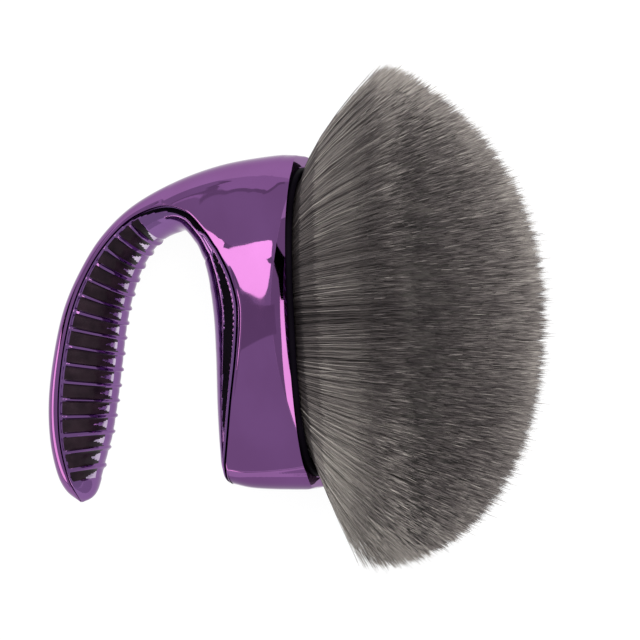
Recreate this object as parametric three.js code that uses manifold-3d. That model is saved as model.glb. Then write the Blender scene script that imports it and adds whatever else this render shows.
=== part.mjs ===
// A body brush with a hook grip: a plated hook-shaped handle whose block carries a wide, dome-cut pack
// of soft fibres. The brush lies on its side, so its plane of symmetry leans on the table.
//
// Millimetres, +Z up. Brush plane: u runs from the hook to the fibres, v along the block towards the
// arch of the hook, w across the brush. u = 0, v = 0 is the middle of the block's mouth. The pieces at
// the mouth have a frame of their own: p out of the mouth, q along it, w across.
import * as THREE from 'three';
import { mergeVertices } from 'three/addons/utils/BufferGeometryUtils.js';
import Module from 'manifold-3d';

const { degToRad, lerp, clamp, smoothstep } = THREE.MathUtils;

// ---- driving dimensions -------------------------------------------------------------------------
const REST_TILT = degToRad(14);   // lean of the brush plane when it lies on a table
const MOUTH_SLANT = degToRad(3);  // the mouth leans a little off the v axis
const REST_PLANE = -28.45;        // the table, measured square to itself from u = v = 0

const EDGE_ROUND = 6.8;      // depth of the rounding along the arch and the block's lower end
const WALL = 2.2;            // moulded wall of the shell
const SEAT_GAP = 0.3;        // clearance between neighbouring pieces
const OVERCUT = 1;           // how far a cutting body runs on past the face it opens

const FLANK = { length: 45, depth: 26 };  // half sizes of the oval that the flanks widen to
const OVAL_POWER = 2.4;      // squareness of every oval at the mouth
const LIP = { share: 0.15, power: 6 };    // share of the flank's widening kept for the mouth's lip

const COVER_WALL = 2.4;      // wall of the ribbed grip cover over its crown
const TONGUE = { wall: 1.1, reach: 1.4, root: 0.7 };  // the cover's edge that locates in the shell
const RIB = { count: 16, pitch: 4.7, first: 8.6, height: 0.9, top: 0.4, base: 1.3 };

// Ovals at the mouth, each [p, half length, half depth].
const COLLAR_SEAT = { p: -3.3, size: [38.4, 21.2], front: 4 };
const COLLAR_PROFILE = [
  [-3, 38.1, 20.9], [0.3, 38.1, 20.9], [0.3, 40.4, 25.3], [1.4, 40.3, 25.2], [2.4, 39.7, 24.6],
  [2.9, 38.7, 23.6], [2.6, 37.7, 22.6], [1.2, 37, 21.3], [-1, 36.7, 19.7], [-3, 36.7, 19.7],
];
const CUP = { top: [-3.6, 36.3, 20.1], floor: [-10.7, 32.7, 14.2], wall: 1.2 };
const RESIN = { from: -9.2, to: -6.5 };
const BAND = { from: -5.9, to: -3.9, thickness: 0.9 };
const FIBRE_ROOT = [
  [-6.2, 32.2, 15.1], [-3.7, 33.4, 17.1], [-0.8, 36.2, 19.2], [1.2, 36.5, 20.9], [2.6, 37.2, 22.2],
  [3.6, 39, 24],
];

// The dome of the fibres: its rim lies nearer the mouth at the ends than at the sides, and the lower
// end is fuller than the upper one, so each pair here is a mean and a difference between the ends.
const FIBRE = {
  halfLength: 65, halfDepth: 37.5, centre: 1.3, apex: 60.3,
  rimEnds: [17.5, 2], rimSides: 28,
  domePower: 2.3, domeFullness: [0.64, 0.14], flankCurve: [1.32, 0.1],
};
const FLANK_SHARES = [0.2, 0.42, 0.64, 0.84, 0.95];  // rings from the mouth to the rim, and on to the apex
const DOME_SHARES = [0.995, 0.95, 0.87, 0.76, 0.62, 0.46, 0.3, 0.15];

// Stations along the handle, from the hook's tip over the arch and down the block.
// seam: where shell and grip cover meet; outer: the outline, or the mouth; half: half the width at
// the seam; crown: how far the grip cover stands proud of the seam; flare: 1 where the flank opens
// out to the mouth.
const STATIONS = [
  { seam: [-62.4, -47.3], outer: [-62.4, -47.3], half: 0, crown: 0, flare: 0 },
  { seam: [-62.2, -44.6], outer: [-65.8, -44.4], half: 7.2, crown: 3.6, flare: 0 },
  { seam: [-63.2, -39.8], outer: [-68.0, -39.6], half: 11, crown: 6.2, flare: 0 },
  { seam: [-64.6, -31.0], outer: [-69.6, -31.0], half: 13, crown: 10, flare: 0 },
  { seam: [-65.0, -20.5], outer: [-70.0, -20.5], half: 13, crown: 12, flare: 0 },
  { seam: [-63.9, -9.2], outer: [-68.6, -8.6], half: 13, crown: 12.3, flare: 0 },
  { seam: [-61.5, 2.2], outer: [-65.8, 3.5], half: 13, crown: 11.4, flare: 0 },
  { seam: [-57.8, 11.6], outer: [-61.2, 13.7], half: 13, crown: 10, flare: 0 },
  { seam: [-52.4, 20.0], outer: [-55.3, 22.8], half: 13.2, crown: 8.2, flare: 0 },
  { seam: [-45.2, 26.8], outer: [-47.2, 30.5], half: 13.6, crown: 6.8, flare: 0 },
  { seam: [-36.8, 30.0], outer: [-36.2, 36.7], half: 14.2, crown: 6.3, flare: 0 },
  { seam: [-30.2, 28.6], outer: [-24.2, 40.9], half: 14.8, crown: 5.4, flare: 0.1 },
  { seam: [-25.2, 23.8], outer: [-12.6, 43.0], half: 15.3, crown: 5.6, flare: 0.5 },
  { seam: [-22.4, 20.0], outer: [-5.2, 43.4], half: 15.6, crown: 6.4, flare: 0.85 },
  { seam: [-20.9, 17.8], outer: [-2.1, 41.2], half: 15.8, crown: 7.1, flare: 1 },
  { seam: [-17.8, 11.4], outer: [-1.4, 26.4], half: 16, crown: 8.8, flare: 1 },
  { seam: [-16.0, 3.6], outer: [-0.5, 9.4], half: 16, crown: 9.4, flare: 1 },
  { seam: [-16.4, -7.6], outer: [0.4, -8.0], half: 16, crown: 8.2, flare: 1 },
  { seam: [-17.8, -20.8], outer: [1.2, -22.6], half: 16, crown: 6.1, flare: 1 },
  { seam: [-18.6, -30.0], outer: [1.8, -34.4], half: 16, crown: 4.4, flare: 1 },
  { seam: [-19.0, -34.6], outer: [2.2, -41.2], half: 16, crown: 3.2, flare: 1 },
  { seam: [-19.2, -36.6], outer: [0.6, -43.3], half: 16, crown: 2.6, flare: 0.95 },
  { seam: [-19.4, -38.4], outer: [-6.5, -43.6], half: 16, crown: 2, flare: 0.8 },
  { seam: [-19.9, -40.4], outer: [-15.0, -43.3], half: 16, crown: 1.2, flare: 0.4 },
  { seam: [-20.6, -42.2], outer: [-20.6, -42.2], half: 16, crown: 0.4, flare: 0 },
];
const LAST = STATIONS.length - 1;
const ARCH_START = 10;       // station from which the rounding keeps its full depth
const MOUTH_START = 14;      // first and last station on the mouth
const MOUTH_END = 20;
// The handle's hollow behind the grip cover: deep in the hook and arch, a shallow recess on the block.
const HOLLOW = { from: 2.4, to: 18.5, deepUntil: 11.5, shallowFrom: 13, recess: 2.2 };
const COVER_ENDS = [0.002, 0.992];  // shares of the seam where the grip cover starts and ends

// ---- mesh fineness ------------------------------------------------------------------------------
const OUTLINE_STEPS = 400;   // straight pieces of the outline that edge distances are measured to
const SHELL_STEPS = 78;
const SHELL_ROWS = 7;
const HOLLOW_STEPS = 40;
const TONGUE_STEPS = 36;
const HOLLOW_ARC = 10;
const COVER_ARC = 12;
const OVAL_SIDES = 40;
const PLAIN_STEP = { tip: 2.2, block: 4.2 };  // spacing of the cover's sections before and after its ribs
const TINY = 1e-6;

// ---- solids -------------------------------------------------------------------------------------
const wasm = await Module();
wasm.setup();

// Joins rings of equal length into one body, whose ends are 'pinched' to a line or a point, 'capped',
// or 'looped' back to the start. Each four-sided patch is split along its shorter diagonal.
function loft(rings, ends) {
  const all = ends === 'looped' ? [...rings, rings[0]] : rings;
  const points = all.flat();
  const size = rings[0].length;
  const index = [];
  for (let i = 0; i + 1 < all.length; i++) {
    for (let j = 0; j < size; j++) {
      const a = i * size + j;
      const b = i * size + ((j + 1) % size);
      const slant = points[a].distanceTo(points[b + size]) <= points[b].distanceTo(points[a + size]);
      if (slant) index.push(a, b, b + size, a, b + size, a + size);
      else index.push(a, b, a + size, b, b + size, a + size);
    }
  }
  if (ends === 'capped') {
    const top = (rings.length - 1) * size;
    for (let j = 1; j + 1 < size; j++) {
      index.push(0, j + 1, j, top, top + j, top + j + 1);
    }
  }
  const geometry = new THREE.BufferGeometry();
  geometry.setAttribute('position', new THREE.Float32BufferAttribute(points.flatMap((p) => p.toArray()), 3));
  geometry.setIndex(index);
  return geometry;
}

function signedVolume(geometry, triangles) {
  const position = geometry.getAttribute('position');
  const corner = [0, 1, 2].map(() => new THREE.Vector3());
  let sum = 0;
  for (let i = 0; i < triangles.length; i += 3) {
    corner.forEach((c, k) => c.fromBufferAttribute(position, triangles[i + k]));
    sum += corner[0].dot(corner[1].cross(corner[2])) / 6;
  }
  return sum;
}

// A closed mesh as a solid, with its faces pointing out whichever way its rings ran.
function toSolid(geometry) {
  const bare = geometry.clone();
  bare.deleteAttribute('normal');
  bare.deleteAttribute('uv');
  const merged = mergeVertices(bare, 1e-4);
  const source = merged.getIndex().array;
  const triangles = [];
  for (let i = 0; i < source.length; i += 3) {
    const [a, b, c] = [source[i], source[i + 1], source[i + 2]];
    if (a !== b && b !== c && a !== c) triangles.push(a, b, c);
  }
  if (signedVolume(merged, triangles) < 0) triangles.reverse();
  return new wasm.Manifold(new wasm.Mesh({
    numProp: 3,
    vertProperties: new Float32Array(merged.getAttribute('position').array),
    triVerts: new Uint32Array(triangles),
  }));
}

function toGeometry(solid) {
  const mesh = solid.getMesh();
  const geometry = new THREE.BufferGeometry();
  geometry.setAttribute('position', new THREE.BufferAttribute(new Float32Array(mesh.vertProperties), 3));
  geometry.setIndex(new THREE.BufferAttribute(new Uint32Array(mesh.triVerts), 1));
  geometry.computeVertexNormals();
  return geometry;
}

// ---- the handle's lines -------------------------------------------------------------------------
function lineThrough(points) {
  const corners = points.map(([x, y, z = 0]) => new THREE.Vector3(x, y, z));
  return new THREE.CatmullRomCurve3(corners, false, 'catmullrom');
}
const seamLine = lineThrough(STATIONS.map((s) => s.seam));
const outerLine = lineThrough(STATIONS.map((s) => s.outer));
const sizeLine = lineThrough(STATIONS.map((s) => [s.half, s.crown, s.flare]));

// The handle's section at a share t of its length.
function station(t) {
  const sizes = sizeLine.getPoint(t);
  const seam = seamLine.getPoint(t);
  const outer = outerLine.getPoint(t);
  const along = seamLine.getTangent(t);
  return {
    t, seam, outer,
    inward: new THREE.Vector3(along.y, -along.x, 0),
    half: Math.max(sizes.x, 0),
    crown: Math.max(sizes.y, 0),
    flare: clamp(sizes.z, 0, 1),
    depth: seam.distanceTo(outer),
  };
}

// The outline that is rounded over: all of it but the mouth.
const outline = [];
for (let i = 0; i < OUTLINE_STEPS; i++) {
  const from = i / OUTLINE_STEPS;
  const to = (i + 1) / OUTLINE_STEPS;
  if (to * LAST <= MOUTH_START || from * LAST >= MOUTH_END) {
    outline.push(new THREE.Line3(outerLine.getPoint(from), outerLine.getPoint(to)));
  }
}

function edgeDistance(point) {
  const foot = new THREE.Vector3();
  return Math.min(...outline.map((line) => line.closestPointToPoint(point, true, foot).distanceTo(point)));
}

function ovalShare(q) {
  return Math.pow(Math.max(0, 1 - Math.pow(Math.abs(q) / FLANK.length, OVAL_POWER)), 1 / OVAL_POWER);
}

// Half the handle's thickness at a share `across` of the way from the seam to the outline.
function halfThickness(place, point, across) {
  const round = place.t * LAST < ARCH_START ? Math.min(EDGE_ROUND, place.depth) : EDGE_ROUND;
  const left = 1 - Math.min(edgeDistance(point) / Math.max(round, TINY), 1);
  const rounded = Math.sqrt(Math.max(0, 1 - left * left));
  const q = point.y * Math.cos(MOUTH_SLANT) - point.x * Math.sin(MOUTH_SLANT);
  const open = place.flare * ((1 - LIP.share) * across + LIP.share * Math.pow(across, LIP.power));
  return rounded * lerp(place.half, FLANK.depth * ovalShare(q), open);
}

// ---- handle shell -------------------------------------------------------------------------------
function handleEnvelope() {
  const rings = [];
  for (let i = 0; i <= SHELL_STEPS; i++) {
    const place = station(i / SHELL_STEPS);
    const near = [];
    for (let j = 0; j <= SHELL_ROWS; j++) {
      const across = Math.sin((j / SHELL_ROWS) * Math.PI / 2);
      const point = place.seam.clone().lerp(place.outer, across);
      point.z = i === 0 || i === SHELL_STEPS ? 0 : halfThickness(place, point, across);
      near.push(point);
    }
    const far = near.map((p) => new THREE.Vector3(p.x, p.y, -p.z)).reverse();
    rings.push([...near, ...far]);
  }
  return toSolid(loft(rings, 'pinched'));
}

// A body swept through the handle's sections from one station to another.
function sweep(section, from, to, steps) {
  const rings = [];
  for (let i = 0; i <= steps; i++) {
    rings.push(section(station(lerp(from, to, i / steps) / LAST)));
  }
  return toSolid(loft(rings, 'capped'));
}

// A section of the handle's hollow: straight walls for the tongue, then an arc, open to the grip cover.
function hollowRing(place) {
  const outward = place.outer.clone().sub(place.seam).normalize();
  const deep = Math.min(place.depth, EDGE_ROUND) - WALL;
  const onBlock = smoothstep(place.t * LAST, HOLLOW.deepUntil, HOLLOW.shallowFrom);
  const reach = lerp(deep, HOLLOW.recess, onBlock);
  const half = place.half - WALL;
  const groove = TONGUE.reach + SEAT_GAP;
  const ring = [];
  for (let j = 0; j <= HOLLOW_ARC; j++) {
    const turn = (j / HOLLOW_ARC) * Math.PI;
    const point = place.seam.clone().addScaledVector(outward, groove + (reach - groove) * Math.sin(turn));
    point.z = half * Math.cos(turn);
    ring.push(point);
  }
  for (const side of [-1, 1]) {
    const point = place.seam.clone().addScaledVector(place.inward, OVERCUT);
    point.z = side * half;
    ring.push(point);
  }
  return ring;
}

// An oval ring in the mouth's own frame.
function oval(p, length, depth) {
  const ring = [];
  for (let i = 0; i < OVAL_SIDES; i++) {
    const turn = (i / OVAL_SIDES) * 2 * Math.PI;
    const [c, s] = [Math.cos(turn), Math.sin(turn)];
    ring.push(new THREE.Vector3(
      p,
      length * Math.sign(c) * Math.pow(Math.abs(c), 2 / OVAL_POWER),
      depth * Math.sign(s) * Math.pow(Math.abs(s), 2 / OVAL_POWER),
    ));
  }
  return ring;
}

function ovalBody(levels) {
  return toSolid(loft(levels.map((level) => oval(...level)), 'capped'));
}

function ovalTube(profile) {
  return toSolid(loft(profile.map((level) => oval(...level)), 'looped'));
}

// The cup's outer oval at a depth p, less an inset.
function inCup(p, inset) {
  const share = (p - CUP.top[0]) / (CUP.floor[0] - CUP.top[0]);
  return [p, lerp(CUP.top[1], CUP.floor[1], share) - inset, lerp(CUP.top[2], CUP.floor[2], share) - inset];
}

// The stepped socket in the block for the collar and the cup.
function socket() {
  const collarSeat = ovalBody([COLLAR_SEAT.p, COLLAR_SEAT.front].map((p) => [p, ...COLLAR_SEAT.size]));
  const cupSeat = ovalBody([
    inCup(CUP.floor[0] - SEAT_GAP, -SEAT_GAP),
    inCup(COLLAR_SEAT.p + OVERCUT / 2, -SEAT_GAP),
  ]);
  return collarSeat.add(cupSeat);
}

const mouthFrame = new THREE.Matrix4().makeRotationZ(MOUTH_SLANT);

function handleShell() {
  const bore = socket().transform(mouthFrame.elements);
  const hollow = sweep(hollowRing, HOLLOW.from, HOLLOW.to, HOLLOW_STEPS);
  return handleEnvelope().subtract(hollow).subtract(bore);
}

// ---- grip cover ---------------------------------------------------------------------------------
const CROWN_SQUARENESS = 0.35;  // how soon a rib reaches its height, going in from the seam
const RIB_OVERHANG = 0.8;       // share of a rib's height by which it also stands out sideways

// A section of the cover: an arch from one side of the seam to the other, where a rib stands `rib` proud.
function coverRing(place, rib) {
  const half = halfThickness(place, place.seam, 0);
  const ring = [];
  for (let j = 0; j <= COVER_ARC; j++) {
    const turn = (j / COVER_ARC) * Math.PI;
    const proud = j === 0 || j === COVER_ARC ? 0 : rib * Math.pow(Math.sin(turn), CROWN_SQUARENESS);
    const rise = (place.crown + proud) * Math.sin(turn);
    const point = place.seam.clone().addScaledVector(place.inward, SEAT_GAP + rise);
    point.z = (half + RIB_OVERHANG * proud) * Math.cos(turn);
    ring.push(point);
  }
  return ring;
}

// The cover's hollow: the same arch a wall further in, its mouth open past the end of the tongue.
function coverHollowRing(place) {
  const half = place.half - WALL - SEAT_GAP - TONGUE.wall;
  const ring = [];
  for (let j = 0; j <= COVER_ARC; j++) {
    const turn = (j / COVER_ARC) * Math.PI;
    const rise = (place.crown - COVER_WALL) * Math.sin(turn);
    const point = place.seam.clone().addScaledVector(place.inward, SEAT_GAP + rise);
    point.z = half * Math.cos(turn);
    ring.push(point);
  }
  for (const side of [-1, 1]) {
    const point = place.seam.clone().addScaledVector(place.inward, -TONGUE.reach - OVERCUT);
    point.z = side * half;
    ring.push(point);
  }
  return ring;
}

function tongueRing(place) {
  const half = place.half - WALL - SEAT_GAP;
  const corners = [[1, -TONGUE.reach], [1, TONGUE.root], [-1, TONGUE.root], [-1, -TONGUE.reach]];
  return corners.map(([side, reach]) => {
    const point = place.seam.clone().addScaledVector(place.inward, reach);
    point.z = side * half;
    return point;
  });
}

// Where the cover's sections lie along the seam, each with its rib height: four to a rib, few between.
function coverSections() {
  const length = seamLine.getLength();
  const [foot, edge] = [RIB.base / 2, RIB.top / 2];
  const profile = [[-foot, 0], [-edge, RIB.height], [edge, RIB.height], [foot, 0]];
  const list = [[COVER_ENDS[0], 0], [COVER_ENDS[1], 0]];
  for (let i = 0; i < RIB.count; i++) {
    const middle = RIB.first + i * RIB.pitch;
    for (const [offset, height] of profile) {
      list.push([seamLine.getUtoTmapping(0, middle + offset), height]);
    }
  }
  const ribsEnd = RIB.first + (RIB.count - 1) * RIB.pitch + RIB.base / 2;
  for (let d = PLAIN_STEP.tip / 2; d < RIB.first - RIB.base; d += PLAIN_STEP.tip) {
    list.push([seamLine.getUtoTmapping(0, d), 0]);
  }
  for (let d = ribsEnd + PLAIN_STEP.tip; d < length - PLAIN_STEP.tip; d += PLAIN_STEP.block) {
    list.push([seamLine.getUtoTmapping(0, d), 0]);
  }
  return list.sort((a, b) => a[0] - b[0]);
}

function gripCover() {
  const inset = 0.1;  // station by which the tongue stops short of the shell's hollow
  const outside = toSolid(loft(coverSections().map(([t, rib]) => coverRing(station(t), rib)), 'capped'));
  const tongue = sweep(tongueRing, HOLLOW.from + inset, HOLLOW.to - inset, TONGUE_STEPS);
  const hollow = sweep(coverHollowRing, HOLLOW.from + 5 * inset, HOLLOW.to - 5 * inset, TONGUE_STEPS);
  return outside.add(tongue).subtract(hollow);
}

// ---- pieces at the mouth, in the mouth's own frame ----------------------------------------------
function ferruleCup() {
  const outside = ovalBody([CUP.floor, CUP.top]);
  return outside.subtract(ovalBody([
    inCup(CUP.floor[0] + CUP.wall, CUP.wall),
    inCup(CUP.top[0] + OVERCUT, CUP.wall),
  ]));
}

function pottingResin() {
  const inset = CUP.wall + SEAT_GAP;
  return ovalBody([inCup(RESIN.from, inset), inCup(RESIN.to, inset)]);
}

function bindingBand() {
  const outer = CUP.wall + SEAT_GAP;
  const inner = outer + BAND.thickness;
  return ovalTube([
    inCup(BAND.from, outer), inCup(BAND.to, outer), inCup(BAND.to, inner), inCup(BAND.from, inner),
  ]);
}

// ---- fibre pack, in the brush plane -------------------------------------------------------------
function towardsEnd([mean, difference], turn) {
  return mean + difference * Math.cos(turn);
}

// The rim between flank and dome, at an angle `turn` round the brush from its upper end.
function rimPoint(turn) {
  const side = Math.sin(turn) ** 2;
  return new THREE.Vector3(
    lerp(towardsEnd(FIBRE.rimEnds, turn), FIBRE.rimSides, side),
    FIBRE.centre + FIBRE.halfLength * Math.cos(turn),
    FIBRE.halfDepth * Math.sin(turn),
  );
}

function flankRing(mouth, share) {
  return mouth.map((from, i) => {
    const turn = (i / OVAL_SIDES) * 2 * Math.PI;
    const to = rimPoint(turn);
    const run = Math.pow(share, towardsEnd(FIBRE.flankCurve, turn));
    return new THREE.Vector3(lerp(from.x, to.x, run), lerp(from.y, to.y, share), lerp(from.z, to.z, share));
  });
}

function domeRing(share) {
  const ring = [];
  for (let i = 0; i < OVAL_SIDES; i++) {
    const turn = (i / OVAL_SIDES) * 2 * Math.PI;
    const rim = rimPoint(turn);
    const rise = Math.pow(1 - Math.pow(share, FIBRE.domePower), towardsEnd(FIBRE.domeFullness, turn));
    ring.push(new THREE.Vector3(
      lerp(rim.x, FIBRE.apex, rise),
      lerp(FIBRE.centre, rim.y, share),
      rim.z * share,
    ));
  }
  return ring;
}

function fibrePack() {
  const root = FIBRE_ROOT.map((level) => oval(...level).map((p) => p.applyMatrix4(mouthFrame)));
  const mouth = root[root.length - 1];
  const flank = FLANK_SHARES.map((share) => flankRing(mouth, share));
  const pack = toSolid(loft([...root, ...flank, ...DOME_SHARES.map(domeRing)], 'capped'));
  // The soft tips flatten where they lie on the table.
  const tableSize = 300;
  const table = new THREE.BoxGeometry(tableSize, tableSize, tableSize);
  table.translate(0, 0, REST_PLANE - tableSize / 2);
  table.rotateY(REST_TILT);
  return pack.subtract(toSolid(table));
}

// ---- the assembly -------------------------------------------------------------------------------
const FINISH = {
  plated: { color: 0x6a3f86, roughness: 0.12, metalness: 0.9 },
  grip: { color: 0x3a2348, roughness: 0.25, metalness: 0.6 },
  trim: { color: 0x0c090e, roughness: 0.1, metalness: 0 },
  metal: { color: 0xb9bbbe, roughness: 0.35, metalness: 1 },
  resin: { color: 0xc9b48a, roughness: 0.4, metalness: 0 },
  thread: { color: 0x2b2624, roughness: 0.8, metalness: 0 },
  fibre: { color: 0x6f635c, roughness: 0.9, metalness: 0 },
};

function piece(name, solid, finish) {
  const mesh = new THREE.Mesh(toGeometry(solid), new THREE.MeshStandardMaterial(FINISH[finish]));
  mesh.name = name;
  return mesh;
}

const mouth = new THREE.Group();
mouth.rotation.z = MOUTH_SLANT;
mouth.add(
  piece('mouth_collar', ovalTube(COLLAR_PROFILE), 'trim'),
  piece('ferrule_cup', ferruleCup(), 'metal'),
  piece('potting_resin', pottingResin(), 'resin'),
  piece('binding_band', bindingBand(), 'thread'),
);

const brush = new THREE.Group();
brush.rotation.y = -REST_TILT;
brush.add(
  piece('handle_shell', handleShell(), 'plated'),
  piece('grip_cover', gripCover(), 'grip'),
  piece('fibre_pack', fibrePack(), 'fibre'),
  mouth,
);

// The origin is the middle of the footprint, on the table.
const group = new THREE.Group();
group.add(brush);
group.updateMatrixWorld(true);
const box = new THREE.Box3().setFromObject(group, true);
brush.position.set(-(box.min.x + box.max.x) / 2, -(box.min.y + box.max.y) / 2, -box.min.z);

export default group;
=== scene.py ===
"""The looks of a body brush with a hook grip: a plated handle, a ribbed grip cover and a soft fibre pack.

The handle, the cover and the collar are rebuilt finer from the CAD's own stations, and the fibre pack
becomes a core with thousands of strands. Shapes are worked out in millimetres in the brush plane, as
in the CAD: u from the hook to the fibres, v along the block towards the arch, w across the brush.
"""
import math

import bmesh
import bpy
import numpy as np
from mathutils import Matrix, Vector


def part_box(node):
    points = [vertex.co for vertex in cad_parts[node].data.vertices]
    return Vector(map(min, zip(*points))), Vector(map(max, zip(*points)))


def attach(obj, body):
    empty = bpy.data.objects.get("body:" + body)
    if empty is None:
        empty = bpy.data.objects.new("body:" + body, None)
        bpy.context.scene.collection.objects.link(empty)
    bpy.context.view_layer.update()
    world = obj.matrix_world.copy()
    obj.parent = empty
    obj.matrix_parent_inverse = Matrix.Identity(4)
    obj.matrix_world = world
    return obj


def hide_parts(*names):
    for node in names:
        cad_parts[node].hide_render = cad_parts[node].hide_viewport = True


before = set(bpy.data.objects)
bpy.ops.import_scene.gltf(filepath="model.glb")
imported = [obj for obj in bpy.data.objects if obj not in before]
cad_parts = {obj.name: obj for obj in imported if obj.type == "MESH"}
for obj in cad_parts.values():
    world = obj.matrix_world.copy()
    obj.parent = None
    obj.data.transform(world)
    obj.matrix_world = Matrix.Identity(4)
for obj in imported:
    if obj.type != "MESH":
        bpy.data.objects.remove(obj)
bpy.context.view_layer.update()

MM = 0.001
REST_TILT = math.radians(14)
MOUTH_SLANT = math.radians(3)
EDGE_ROUND = 6.8        # rounding of the handle's outline
WALL = 2.2              # wall of the shell
SEAT_GAP = 0.3          # gap between pieces that touch
FLANK_LENGTH, FLANK_DEPTH = 45, 26
OVAL_POWER = 2.4
LIP_SHARE, LIP_POWER = 0.15, 6      # share of the block's flare that comes only at its lip, and how late
EVEN_FROM = 39          # past this far along the mouth the handle keeps its depth to the corner
COVER_WALL = 2.4
TONGUE_WALL, TONGUE_REACH = 1.1, 1.4
RIB_COUNT, RIB_PITCH, RIB_FIRST, RIB_HEIGHT = 16, 4.7, 8.6, 0.35
HOLLOW_FROM, HOLLOW_TO, HOLLOW_DEEP_UNTIL, HOLLOW_SHALLOW_FROM, HOLLOW_RECESS = 2.4, 18.5, 11.5, 13, 2.2

# Stations along the handle, from the hook's tip over the arch and down the block, as in the CAD:
# seam u v, outline u v, half width at the seam, crown of the cover, flare towards the mouth.
STATIONS = np.array([
    (-62.4, -47.3, -62.4, -47.3, 0, 0, 0),
    (-62.2, -44.6, -65.8, -44.4, 7.2, 3.6, 0),
    (-63.2, -39.8, -68.0, -39.6, 11, 6.2, 0),
    (-64.6, -31.0, -69.6, -31.0, 13, 10, 0),
    (-65.0, -20.5, -70.0, -20.5, 13, 12, 0),
    (-63.9, -9.2, -68.6, -8.6, 13, 12.3, 0),
    (-61.5, 2.2, -65.8, 3.5, 13, 11.4, 0),
    (-57.8, 11.6, -61.2, 13.7, 13, 10, 0),
    (-52.4, 20.0, -55.3, 22.8, 13.2, 8.2, 0),
    (-45.2, 26.8, -47.2, 30.5, 13.6, 6.8, 0),
    (-36.8, 30.0, -36.2, 36.7, 14.2, 6.3, 0),
    (-30.2, 28.6, -24.2, 40.9, 14.8, 5.4, 0.1),
    (-25.2, 23.8, -12.6, 43.0, 15.3, 5.6, 0.5),
    (-22.4, 20.0, -5.2, 43.4, 15.6, 6.4, 0.85),
    (-20.9, 17.8, -2.1, 41.2, 15.8, 7.1, 1),
    (-17.8, 11.4, -1.4, 26.4, 16, 8.8, 1),
    (-16.0, 3.6, -0.5, 9.4, 16, 9.4, 1),
    (-16.4, -7.6, 0.4, -8.0, 16, 8.2, 1),
    (-17.8, -20.8, 1.2, -22.6, 16, 6.1, 1),
    (-18.6, -30.0, 1.8, -34.4, 16, 4.4, 1),
    (-19.0, -34.6, 2.2, -41.2, 16, 3.2, 1),
    (-19.2, -36.6, 0.6, -43.3, 16, 2.6, 0.95),
    (-19.4, -38.4, -6.5, -43.6, 16, 2, 0.8),
    (-19.9, -40.4, -15.0, -43.3, 16, 1.2, 0.4),
    (-20.6, -42.2, -20.6, -42.2, 16, 0.4, 0),
])
LAST = len(STATIONS) - 1
ARCH_START, STRAIGHT_FROM, STRAIGHT_TO = 10, 12.9, 21.8


# ---- curves and sections -------------------------------------------------------------------------
class Curve:
    """A uniform Catmull-Rom curve through points, with t from 0 to 1."""

    def __init__(self, points):
        p = np.asarray(points, float)
        self.ends = np.vstack([2 * p[0] - p[1], p, 2 * p[-1] - p[-2]])
        self.pieces = len(p) - 1

    def terms(self, t):
        x = np.clip(np.asarray(t, float), 0, 1) * self.pieces
        i = np.minimum(x.astype(int), self.pieces - 1)
        p0, p1, p2, p3 = (self.ends[i + k] for k in range(4))
        m0, m1 = (p2 - p0) / 2, (p3 - p1) / 2
        return (x - i)[..., None], p1, m0, 3 * (p2 - p1) - 2 * m0 - m1, 2 * (p1 - p2) + m0 + m1

    def at(self, t):
        s, a, b, c, d = self.terms(t)
        return a + s * (b + s * (c + s * d))

    def tangent(self, t):
        s, _, b, c, d = self.terms(t)
        v = b + s * (2 * c + s * 3 * d)
        return v / np.linalg.norm(v, axis=-1, keepdims=True)


SEAM, OUTER, SIZES = Curve(STATIONS[:, :2]), Curve(STATIONS[:, 2:4]), Curve(STATIONS[:, 4:])
FINE_T = np.linspace(0, 1, 4001)
SEAM_RUN = np.concatenate([[0], np.cumsum(np.linalg.norm(np.diff(SEAM.at(FINE_T), axis=0), axis=1))])


def share_at(distance):
    """The share t of the seam that lies a distance along it."""
    return np.interp(distance, SEAM_RUN, FINE_T)


def smoothstep(x, low, high):
    s = np.clip((x - low) / (high - low), 0, 1)
    return s * s * (3 - 2 * s)


def lerp(a, b, s):
    return a + (b - a) * s


class Sections:
    """The handle's sections at shares t of its length; every field has one row per section."""

    def __init__(self, t):
        self.t = np.asarray(t, float)
        self.seam, self.outer = SEAM.at(t), OUTER.at(t)
        sizes = SIZES.at(t)
        self.half, self.crown = np.maximum(sizes[:, 0], 0), np.maximum(sizes[:, 1], 0)
        self.flare = np.clip(sizes[:, 2], 0, 1)
        along = SEAM.tangent(t)
        self.inward = np.stack([along[:, 1], -along[:, 0]], 1)
        self.depth = np.linalg.norm(self.outer - self.seam, axis=1)


def edge_distance(points):
    """How far points of the brush plane lie from the outline that is rounded over: all but the mouth,
    with both sides run straight on past the mouth's corners."""
    ends = np.linspace(0, 1, 801)
    a, b = OUTER.at(ends[:-1]), OUTER.at(ends[1:])
    kept = (ends[1:] * LAST <= STRAIGHT_FROM) | (ends[:-1] * LAST >= STRAIGHT_TO)
    a = np.vstack([a[kept], OUTER.at([STRAIGHT_FROM / LAST, STRAIGHT_TO / LAST])])
    b = np.vstack([b[kept], [(8, 43.8), (8, -43.6)]])
    run = b - a
    flat = points.reshape(-1, 2)
    best = np.full(len(flat), 1e9)
    for start, step in zip(a, run):
        s = np.clip((flat - start) @ step / (step @ step), 0, 1)
        best = np.minimum(best, np.linalg.norm(flat - start - s[:, None] * step, axis=1))
    return best.reshape(points.shape[:-1])


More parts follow.
